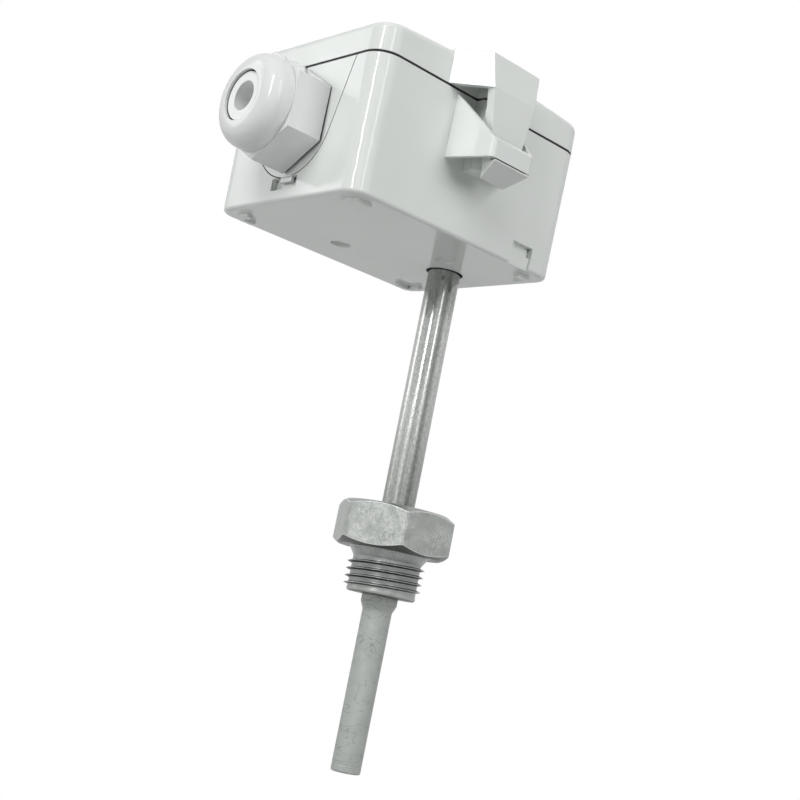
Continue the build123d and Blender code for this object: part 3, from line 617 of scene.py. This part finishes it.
# Mouldings: copies of the CAD shapes, whose large flat faces stay flat beside their round edges
mouldingLook = {"crease": 22, "flatWeight": 90}
for node, name, finish in (
    ("housing_base", "housingBase", housingPlastic),
    ("housing_lid", "housingLid", housingPlastic),
    ("gland_insert", "glandPlate", housingPlastic),
    ("gland_nut", "glandNut", glandPlastic),
    ("gland_seal", "glandSleeve", glandRubber),
):
    piece = placed(mergedCopy(node, name), name, node, finish, mouldingLook["crease"])
    flatter = piece.modifiers.new("flatFaces", "WEIGHTED_NORMAL")
    flatter.keep_sharp, flatter.weight = True, mouldingLook["flatWeight"]
    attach(piece, bodyOf[node])
print("housing and gland dressed")

# Latch blade: grows up to the lid's boss, as it is moulded there
latchShape = {"reach": 0.30, "topBand": 0.01, "bendLength": 4.0, "crease": 10}


# The points within a thin band below the blade's top move up by its reach.
def addLatch(v):
    low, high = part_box("latch_tongue")
    mesh = mergedCopy("latch_tongue", "latchBlade")
    points = np.empty(len(mesh.vertices) * 3, np.float32)
    mesh.vertices.foreach_get("co", points)
    points = points.reshape(-1, 3)
    points[points[:, 2] > high.z - v["topBand"] * mm, 2] += v["reach"] * mm
    mesh.vertices.foreach_set("co", points.ravel())
    piece = placed(mesh, "latchBlade", "latch_tongue", housingPlastic, v["crease"])
    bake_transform(piece)


addLatch(latchShape)
print("latch dressed")

# Lid seal: a black band whose lip fills the joint between lid and base, just clear of the base; the
# band is the real seal, the lip is a dark sheet put in the joint as painted shade
sealShape = {
    "middle": -22.74, "halfLength": 36.9, "halfWidth": 29.55, "corner": 6.0, "rim": 121.15,
    "gap": 0.65, "clear": 0.05, "lip": 0.15, "outer": 1.35, "inner": 2.65, "height": 1.75,
    "steps": 10,
}


# A rounded rectangle moved inwards: each corner's arc is about its own middle, and its radius is
# the corner's less the inset.
def addLidSeal(v):
    quarters = [np.linspace(a, a + 90, v["steps"]) for a in (0, 90, 180, 270)]
    turn = np.radians(np.concatenate(quarters))
    signX = np.repeat([1, -1, -1, 1], v["steps"])
    signY = np.repeat([1, 1, -1, -1], v["steps"])
    low, joint = v["rim"] + v["clear"], v["rim"] + v["gap"] - v["clear"]
    high = v["rim"] + v["gap"] + v["height"]
    # the lip, from the outer inset out to the lip's at the joint's height, is a dark sheet that
    # stands for the joint's shade
    profile = np.array([(v["lip"], low), (v["inner"], low), (v["inner"], high),
                        (v["outer"], high), (v["outer"], joint), (v["lip"], joint)])
    radius = v["corner"] - profile[:, :1]
    x = v["middle"] + signX * (v["halfLength"] - v["corner"]) + radius * np.cos(turn)
    y = signY * (v["halfWidth"] - v["corner"]) + radius * np.sin(turn)
    z = np.repeat(profile[:, 1:], len(turn), 1)
    mesh = gridMesh(np.stack([x, y, z], -1) * mm, "lidSeal", True)
    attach(placed(mesh, "lidSeal", "lid_seal", sealRubber), bodyOf["lid_seal"])


addLidSeal(sealShape)
print("lid seal made")

# Neck tube: a plain drawn tube, its top edges broken
neckShape = {"outside": 4.5, "bore": 3.5, "foot": 9.45, "top": 96.05, "edge": 0.25}


# The tube's wall as a ring of (radius, height), its two top edges cut at 45 degrees.
def addNeckTube(v):
    out, inside, foot, top, edge = v["outside"], v["bore"], v["foot"], v["top"], v["edge"]
    profile = [(inside, foot), (out, foot), (out, top - edge), (out - edge, top),
               (inside + edge, top), (inside, top - edge)]
    piece = placed(turned(profile, "neckTube", True), "neckTube", "neck_tube", tubeSteel)
    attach(piece, bodyOf["neck_tube"])


addNeckTube(neckShape)

# Pocket: closed tube with a collar and a fine ring line above its rounded tip
pocketShape = {
    "outside": 4.0, "bore": 3.25, "tip": -52.25, "endWall": 1.0, "tipRound": 0.45, "top": 4.05,
    "shankEnd": -5.45, "collar": 4.9, "collarFoot": -7.45, "collarRound": 0.4, "collarRise": 0.1,
    "collarBend": 30, "taperFoot": -9.45, "ringLine": -50.2, "ringDepth": 0.09, "ringWidth": 0.14,
    "beside": 0.08, "crease": 50,
}


# The wall's (radius, height) from the tip up the outside and down the bore. A row of points beside
# each edge keeps the shading flat up to it.
def addPocket(v):
    out, bore, tip, edge, beside = v["outside"], v["bore"], v["tip"], v["tipRound"], v["beside"]
    ring, wide = v["ringLine"], v["ringWidth"]
    profile = [(0, tip)] + roundOff((out - edge, tip + edge), edge, -90, 0)
    profile += [(out, tip + edge + beside), (out, ring - wide - beside), (out, ring - wide),
                (out - v["ringDepth"], ring), (out, ring + wide), (out, ring + wide + beside),
                (out, v["taperFoot"] - beside), (out, v["taperFoot"])]
    middle = (v["collar"] - v["collarRound"], v["collarFoot"] + v["collarRise"])
    profile += roundOff(middle, v["collarRound"], -v["collarBend"], 0, steps=3)
    profile += [(v["collar"], v["shankEnd"]), (out, v["shankEnd"]), (out, v["top"]),
                (bore, v["top"]), (bore, tip + v["endWall"]), (0, tip + v["endWall"])]
    mesh = turned(profile, "pocket", False)
    piece = placed(mesh, "pocket", "pocket_tube", pocketSteel, v["crease"])
    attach(piece, bodyOf["pocket_tube"])


addPocket(pocketShape)
print("stem dressed")

# Screwed fitting: one closed skin of radius and height over the turn about the stem
fittingShape = {
    "acrossFlats": 29.3, "turn": 29.3, "shoulder": 6.45, "top": 18.45, "faceRadius": 13.95,
    "chamfer": 30.0, "cornerBreak": 0.18, "socket": 4.55, "socketFoot": 9.45, "bore": 4.05,
    "neck": 10.8, "relief": 9.4, "reliefTop": 4.35, "crest": 10.4775, "root": 9.25,
    "pitch": 1.95, "start": 0.6, "threadTop": 3.95, "threadFoot": -4.0, "rowsPerTurn": 26,
    "crestShare": 0.47, "crestFlat": 0.06, "runOut": 0.45, "pilot": 9.4, "pilotRound": 0.7,
    "end": -5.45, "around": 240, "crease": 28,
}


# The hexagon's radius at an angle is half its width across flats over the cosine of the angle
# from the nearest flat's middle. The thread's radius is the root's plus the crest's height times a
# flat-topped ridge that climbs one pitch a turn, times a share that falls to 0 at both its ends.
def addFitting(v):
    around = np.linspace(0, 2 * np.pi, v["around"], endpoint=False)
    angle = np.radians(v["turn"]) + around
    side = np.pi / 3
    fromFlat = (around + side / 2) % side - side / 2
    half, face, bore = v["acrossFlats"] / 2, v["faceRadius"], v["bore"]
    hexagon = np.minimum(half / np.cos(fromFlat), half / np.cos(side / 2) - v["cornerBreak"])
    bite = (hexagon - face) * np.tan(np.radians(v["chamfer"]))
    top, shoulder = v["top"], v["shoulder"]

    rows = [(bore, v["socketFoot"]), (v["socket"], v["socketFoot"]), (v["socket"], top),
            (face, top), (hexagon, top - bite), (hexagon, (top + shoulder) / 2),
            (hexagon, shoulder + bite), (face, shoulder), (v["neck"], shoulder),
            (v["relief"], v["reliefTop"])]

    count = int((v["threadTop"] - v["threadFoot"]) / v["pitch"] * v["rowsPerTurn"])
    heights = np.linspace(v["threadTop"], v["threadFoot"], count)
    phase = ((heights[:, None] - v["start"]) / v["pitch"] - angle / (2 * np.pi)) % 1.0
    slope = v["crestShare"] - v["crestFlat"]
    ridge = np.clip(1 - (np.abs(phase - 0.5) * 2 - v["crestFlat"]) / slope, 0, 1)
    toEnd = np.minimum(v["threadTop"] - heights, heights - v["threadFoot"])
    fade = np.clip(toEnd / v["runOut"], 0, 1)[:, None]
    rows += zip(v["root"] + (v["crest"] - v["root"]) * ridge * fade, heights)

    middle = (v["pilot"] - v["pilotRound"], v["end"] + v["pilotRound"])
    rows += roundOff(middle, v["pilotRound"], 0, -90) + [(bore, v["end"])]
    radius, height = (
        np.array([np.broadcast_to(row[k], angle.shape) for row in rows]) for k in (0, 1)
    )
    points = np.stack([radius * np.cos(angle), radius * np.sin(angle), height], -1)
    mesh = gridMesh(points * mm, "screwedFitting", True)
    piece = placed(mesh, "screwedFitting", "hex_fitting", fittingSteel, v["crease"])
    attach(piece, bodyOf["hex_fitting"])


addFitting(fittingShape)
print("screwed fitting made")

# CAD nodes that keep their shape get their finish here
for node, finish in (
    ("gland_cage", glandPlastic), ("insert_seal", sealRubber), ("tube_o_ring", sealRubber),
    ("tube_clip", brightSteel), ("hinge_pins", brightSteel), ("sensing_element", elementCeramic),
    ("sensor_leads", leadInsulation), ("circuit_board", boardLacquer),
    ("board_screws", brightSteel), ("board_parts", partPlastic),
    ("cable_terminal", terminalPlastic), ("cable_terminal_screws", brightSteel),
    ("lead_terminal", terminalPlastic), ("lead_terminal_screws", brightSteel),
):
    mesh = frame["nodes"][node].data
    mesh.materials.clear()
    mesh.materials.append(finish)
print("inner pieces finished")
